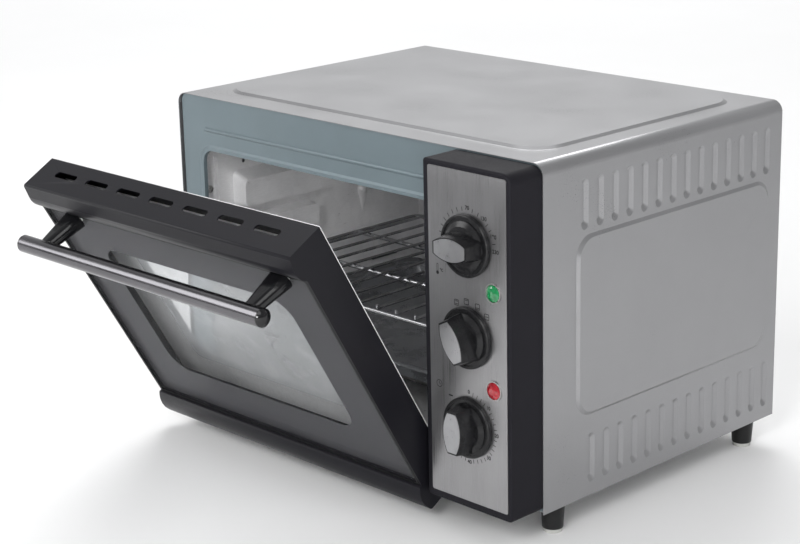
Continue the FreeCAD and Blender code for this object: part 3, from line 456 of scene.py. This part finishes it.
def around(centre, degrees, radius):
    """A point round a dial; the angle runs clockwise from the top."""
    angle = math.radians(degrees)
    return centre[0] + radius * math.sin(angle), centre[1] + radius * math.cos(angle)


def add_dial(bm, name, ticks, figures, tick_from, tick_to, figure_radius):
    centre = knob_centre(name)
    for degrees in ticks:
        add_stroke(bm, [around(centre, degrees, tick_from), around(centre, degrees, tick_to)],
                   TICK_W, on_fascia, 0.0, PRINT_T)
    for degrees, text in figures:
        a, b = around(centre, degrees, figure_radius)
        add_text(bm, text, FIGURE_H, a, b, fascia_space)


def add_icon(bm, a, b, bars):
    """A cavity outline with heating bars at its top or bottom."""
    half = ICON_HALF
    outer = rounded_outline(a - half, a + half, b - half, b + half, 0.9 * MM, 5)
    edge = half - ICON_LINE
    inner = rounded_outline(a - edge, a + edge, b - edge, b + edge, 0.5 * MM, 5)
    add_band(bm, outer, inner, on_fascia, 0.0, PRINT_T)
    for level in bars:
        height = b + level * ICON_BAR_PITCH
        zigzag = [(a + dx * MM, height + dz * MM)
                  for dx, dz in ((-1.5, 0.25), (-0.75, -0.25), (0.0, 0.25), (0.75, -0.25), (1.5, 0.25))]
        add_stroke(bm, zigzag, ICON_BAR_LINE, on_fascia, 0.0, PRINT_T)


def ring_points(a, b, radius, steps=24):
    angles = [2 * math.pi * step / steps for step in range(steps)]
    return [(a + radius * math.cos(angle), b + radius * math.sin(angle)) for angle in angles]


# Angles round the dials are in degrees clockwise from the top.
TEMPERATURE_TICKS = (-78, -66, -54, -43, -32, -21, -10, 12, 24, 47, 57, 78)
TEMPERATURE_FIGURES = ((1, "70"), (36, "130"), (67, "190"), (90, "230"))
TIMER_STEP = 45
TIMER_TICK_STEP = 9
TIMER_FIGURE_COUNT = 6
TIMER_HOLD_ANGLE = -42
FUNCTION_ICONS = ((-25, (1, -1)), (-3, (1,)), (21, (-1,)), (44, (0,)))
FUNCTION_ICON_RADIUS = 28.6 * MM

marks = bmesh.new()
add_dial(marks, "temperature", TEMPERATURE_TICKS, TEMPERATURE_FIGURES, 27.2 * MM, 30.0 * MM, 29.6 * MM)
timer_figures = [(TIMER_STEP * index, "%d" % (10 * index)) for index in range(TIMER_FIGURE_COUNT)]
timer_ticks = [TIMER_STEP * index + TIMER_TICK_STEP * tick
               for index in range(TIMER_FIGURE_COUNT - 1) for tick in range(1, 5)]
add_dial(marks, "timer", timer_ticks, timer_figures, 26.9 * MM, 29.5 * MM, 29.2 * MM)

# A short bar marks the place before zero.
HOLD_RADIUS = 29.4 * MM
HOLD_HALF = 1.6 * MM
HOLD_LINE = 1.1 * MM
hold_a, hold_b = around(knob_centre("timer"), TIMER_HOLD_ANGLE, HOLD_RADIUS)
add_stroke(marks, [(hold_a - HOLD_HALF, hold_b), (hold_a + HOLD_HALF, hold_b)], HOLD_LINE,
           on_fascia, 0.0, PRINT_T)

for degrees, bars in FUNCTION_ICONS:
    icon_a, icon_b = around(knob_centre("function"), degrees, FUNCTION_ICON_RADIUS)
    add_icon(marks, icon_a, icon_b, bars)

# A clock face stands above the timer and a thermometer below the temperature knob, on one upright line.
ICON_INSET = 9.4 * MM
CLOCK_RISE = 29.0 * MM
CLOCK_R = 3.1 * MM
CLOCK_INNER_R = 2.65 * MM
CLOCK_HAND_LINE = 0.38 * MM
clock_a = fascia_lo.x + ICON_INSET
clock_b = knob_centre("timer")[1] + CLOCK_RISE
add_band(marks, ring_points(clock_a, clock_b, CLOCK_R), ring_points(clock_a, clock_b, CLOCK_INNER_R),
         on_fascia, 0.0, PRINT_T)
clock_hands = [(clock_a, clock_b + 1.9 * MM), (clock_a, clock_b), (clock_a + 1.3 * MM, clock_b - 0.6 * MM)]
add_stroke(marks, clock_hands, CLOCK_HAND_LINE, on_fascia, 0.0, PRINT_T)
STEM_DROP = 24.1 * MM
STEM_HALF = 0.9 * MM
STEM_LINE = 0.4 * MM
STEM_DOWN = 3.0 * MM
STEM_UP = 4.0 * MM
BULB_DROP = 3.4 * MM
BULB_R = 1.45 * MM
stem_b = knob_centre("temperature")[1] - STEM_DROP
stem_inner = STEM_HALF - STEM_LINE
add_band(marks, rounded_outline(clock_a - STEM_HALF, clock_a + STEM_HALF,
                                stem_b - STEM_DOWN, stem_b + STEM_UP, 0.85 * MM, 6),
         rounded_outline(clock_a - stem_inner, clock_a + stem_inner,
                         stem_b - STEM_DOWN + STEM_LINE, stem_b + STEM_UP - STEM_LINE, 0.45 * MM, 6),
         on_fascia, 0.0, PRINT_T)
add_plate(marks, ring_points(clock_a, stem_b - BULB_DROP, BULB_R), on_fascia, 0.0, PRINT_T)
add_text(marks, "°C", DEGREE_MARK_H,
         clock_a + 4.2 * MM, stem_b - 1.0 * MM, fascia_space)
add_piece("fascia_print", marks, print_ink, "chassis")

# ---- faceted lamp lenses ----
# Each ring is (share of the lens's radius, height over the fascia in mm).
LENS_SIDES = 12
LENS_STEM_SHARE = 0.8
LENS_RINGS = ((1.0, 0.0), (1.0, 1.1), (0.93, 1.75), (0.70, 2.75), (0.40, 3.45))
LENS_TIP = 3.75


def lamp_lens(name, material):
    """A cut lens: rings of flat facets, each ring turned half a side from the one below."""
    node = name + "_lamp_lens"
    low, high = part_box(node)
    centre_x, centre_z = (low.x + high.x) / 2, (low.z + high.z) / 2
    radius = (high.x - low.x) / 2
    bm = bmesh.new()
    rings = []
    for index, (share, height) in enumerate(LENS_RINGS):
        turn = 0.5 * (index % 2) if index > 1 else 0.0
        ring = []
        for side in range(LENS_SIDES):
            angle = 2 * math.pi * (side + turn) / LENS_SIDES
            ring.append(bm.verts.new((centre_x + radius * share * math.cos(angle), plate_front - height * MM,
                                      centre_z + radius * share * math.sin(angle))))
        rings.append(ring)
    tip = bm.verts.new((centre_x, plate_front - LENS_TIP * MM, centre_z))
    for index, (ring, following) in enumerate(zip(rings, rings[1:])):
        turned = index > 0
        ahead = 1 if turned and index % 2 == 0 else 0
        for side in range(LENS_SIDES):
            after = (side + 1) % LENS_SIDES
            if not turned:
                bm.faces.new((ring[side], ring[after], following[after], following[side]))
            elif ahead:
                bm.faces.new((ring[side], ring[after], following[side]))
                bm.faces.new((ring[after], following[after], following[side]))
            else:
                bm.faces.new((ring[side], ring[after], following[after]))
                bm.faces.new((ring[side], following[after], following[side]))
    for side in range(LENS_SIDES):
        bm.faces.new((rings[-1][side], rings[-1][(side + 1) % LENS_SIDES], tip))
    stem_radius = radius * LENS_STEM_SHARE
    stem = [bm.verts.new((centre_x + stem_radius * math.cos(2 * math.pi * side / LENS_SIDES), high.y,
                          centre_z + stem_radius * math.sin(2 * math.pi * side / LENS_SIDES)))
            for side in range(LENS_SIDES)]
    for side in range(LENS_SIDES):
        after = (side + 1) % LENS_SIDES
        bm.faces.new((rings[0][side], rings[0][after], stem[after], stem[side]))
    bm.faces.new(stem)
    piece = add_piece(name + "_lamp_cut_lens", bm, material, "chassis")
    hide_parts(node)


lamp_lens("power", looks["green_lens"])
lamp_lens("heating", looks["red_lens"])

# ---- printed border and seal of the door glass ----
GLASS_SIDE_INSET = 1.5 * MM
BORDER_TUCK = 4.0 * MM
glass_x0 = door_lo.x + GLASS_SIDE_INSET
glass_x1 = door_hi.x - GLASS_SIDE_INSET
window_x0 = door_lo.x + WINDOW_INSET_LEFT
window_x1 = door_hi.x - WINDOW_INSET_RIGHT
glass_back_w = GLASS_FRONT_W - GLASS_T


def door_place(w_front):
    """Places a flat shape on the door at the depth w_front; levels run outward."""
    return lambda a, b, level: on_door(a, b, w_front + level)


PRINT_GAP = 0.06 * MM
BORDER_BACK = 0.16 * MM
border = bmesh.new()
add_band(border, rounded_outline(glass_x0, glass_x1, GLASS_V0, LIP_V + BORDER_TUCK, 1.2 * MM, 12),
         rounded_outline(window_x0, window_x1, WINDOW_V0, WINDOW_V1, WINDOW_R, 12),
         door_place(glass_back_w), -BORDER_BACK, -PRINT_GAP)
add_piece("door_glass_border", border, print_grey, "door")

SEAL_W = 2.3 * MM
SEAL_OVERLAP = 0.1 * MM
SEAL_FOOT = 0.2 * MM
seal = bmesh.new()
add_band(seal, rounded_outline(glass_x0 - SEAL_OVERLAP, glass_x1 + SEAL_OVERLAP,
                               GLASS_V0 - SEAL_FOOT, LIP_V - SEAL_OVERLAP, 1.0 * MM, 8),
         rounded_outline(glass_x0 + SEAL_W, glass_x1 - SEAL_W,
                         GLASS_V0 + SEAL_W, LIP_V - SEAL_W, 2.0 * MM, 8),
         door_place(GLASS_FRONT_W), 0.01 * MM, 0.30 * MM)
add_piece("door_glass_seal", seal, seal_black, "door")

# Painted shade: a black plate behind the vents in the door's top darkens the channel there, where shade falls.
SHADE_V0 = 252.0 * MM
SHADE_V1 = 270.5 * MM
SHADE_W = 1.0 * MM
shade = bmesh.new()
add_plate(shade, rounded_outline(glass_x0, glass_x1, SHADE_V0, SHADE_V1, 1.0 * MM, 4),
          door_place(SHADE_W), 0.0, 0.4 * MM)
add_piece("door_vent_painted_shade", shade, seal_black, "door")

# ---- floor, lights and camera ----
floor_material = finish_material(
    "floor", (0.94, 0.94, 0.94), 0.0, 0.8,
    [("noise", cube(0.4), 0.01, 0.02, 0.0)])
floor_mesh = bpy.data.meshes.new("floor")
floor_bm = bmesh.new()
FLOOR_HALF = 6.0
FLOOR_DROP = 0.2 * MM
floor_bm.faces.new([floor_bm.verts.new((x, y, -FLOOR_DROP)) for x, y in
                    ((-FLOOR_HALF, -FLOOR_HALF), (FLOOR_HALF, -FLOOR_HALF),
                     (FLOOR_HALF, FLOOR_HALF), (-FLOOR_HALF, FLOOR_HALF))])
floor_bm.to_mesh(floor_mesh)
floor_bm.free()
floor_mesh.materials.append(floor_material)
floor = bpy.data.objects.new("floor", floor_mesh)
bpy.context.scene.collection.objects.link(floor)

# The studio is bright behind and to the left of the oven, and dim in front, to the right and above.
SKY_BRIGHT_SIDE = (-0.66, 0.60, -0.45)
SKY_DIM = 0.30
SKY_DIM_FROM = -0.6
SKY_BRIGHT_FROM = 0.8
SKY_BRIGHT = 0.72
world = bpy.data.worlds.new("studio")
world.use_nodes = True
sky_nodes, sky_links = world.node_tree.nodes, world.node_tree.links
sky_nodes["Background"].inputs["Color"].default_value = (0.985, 0.99, 1.0, 1.0)
sky_place = sky_nodes.new("ShaderNodeTexCoord")
sky_side = sky_nodes.new("ShaderNodeVectorMath")
sky_side.operation = "DOT_PRODUCT"
sky_side.inputs[1].default_value = SKY_BRIGHT_SIDE
sky_links.new(sky_place.outputs["Generated"], sky_side.inputs[0])
sky_spread = sky_nodes.new("ShaderNodeMapRange")
sky_spread.inputs["From Min"].default_value = SKY_DIM_FROM
sky_spread.inputs["From Max"].default_value = SKY_BRIGHT_FROM
sky_spread.inputs["To Min"].default_value = SKY_DIM
sky_spread.inputs["To Max"].default_value = SKY_BRIGHT
sky_links.new(sky_side.outputs["Value"], sky_spread.inputs["Value"])
sky_links.new(sky_spread.outputs["Result"], sky_nodes["Background"].inputs["Strength"])
bpy.context.scene.world = world
bpy.context.scene.view_settings.view_transform = "Standard"


def area_light(name, place, aim, size, power, colour=(1.0, 1.0, 1.0)):
    light = bpy.data.lights.new(name, "AREA")
    light.shape = "RECTANGLE"
    light.size, light.size_y = size
    light.energy = power
    light.color = colour
    lamp = bpy.data.objects.new(name, light)
    lamp.location = place
    lamp.rotation_euler = (Vector(aim) - Vector(place)).to_track_quat("-Z", "Y").to_euler()
    bpy.context.scene.collection.objects.link(lamp)


area_light("top_softbox", (-0.5, 0.5, 2.1), (0.0, 0.0, 0.2), (2.2, 1.6), 8.0)
area_light("front_left_softbox", (-1.6, -1.6, 1.2), (0.0, 0.0, 0.15), (1.2, 1.2), 19.0)
area_light("front_right_softbox", (0.9, -1.7, 1.2), (-0.05, 0.0, 0.17), (0.6, 0.8), 19.0)
area_light("right_softbox", (1.7, -0.6, 1.6), (0.5, -0.3, 0.0), (1.0, 1.4), 8.5)
area_light("low_fill_softbox", (1.75, -1.30, 0.45), (0.1, 0.0, 0.15), (0.4, 0.4), 9.0)
area_light("backdrop_softbox", (-3.4, 3.6, 5.0), (-3.0, 3.2, 0.0), (3.4, 3.4), 215.0)

CAMERA_AZIMUTH = math.radians(45.9)
CAMERA_ELEVATION = math.radians(16.5)
CAMERA_ROLL = math.radians(-1.3)
CAMERA_DISTANCE = 1.7151
CAMERA_TARGET = Vector((0.0, 4.006, 169.2)) * MM
CAMERA_LENS = 88.93
SENSOR = 36.0

back = Vector((math.sin(CAMERA_AZIMUTH) * math.cos(CAMERA_ELEVATION),
               -math.cos(CAMERA_AZIMUTH) * math.cos(CAMERA_ELEVATION), math.sin(CAMERA_ELEVATION)))
camera_data = bpy.data.cameras.new("camera")
camera_data.sensor_fit = "HORIZONTAL"
camera_data.sensor_width = SENSOR
camera_data.lens = CAMERA_LENS
camera_data.clip_start = 0.05
camera_data.clip_end = 50.0
camera = bpy.data.objects.new("camera", camera_data)
camera.rotation_mode = "QUATERNION"
camera.rotation_quaternion = ((-back).to_track_quat("-Z", "Y").to_matrix()
                              @ Matrix.Rotation(CAMERA_ROLL, 3, "Z")).to_quaternion()
camera.location = CAMERA_TARGET + back * CAMERA_DISTANCE
bpy.context.scene.collection.objects.link(camera)
bpy.context.scene.camera = camera
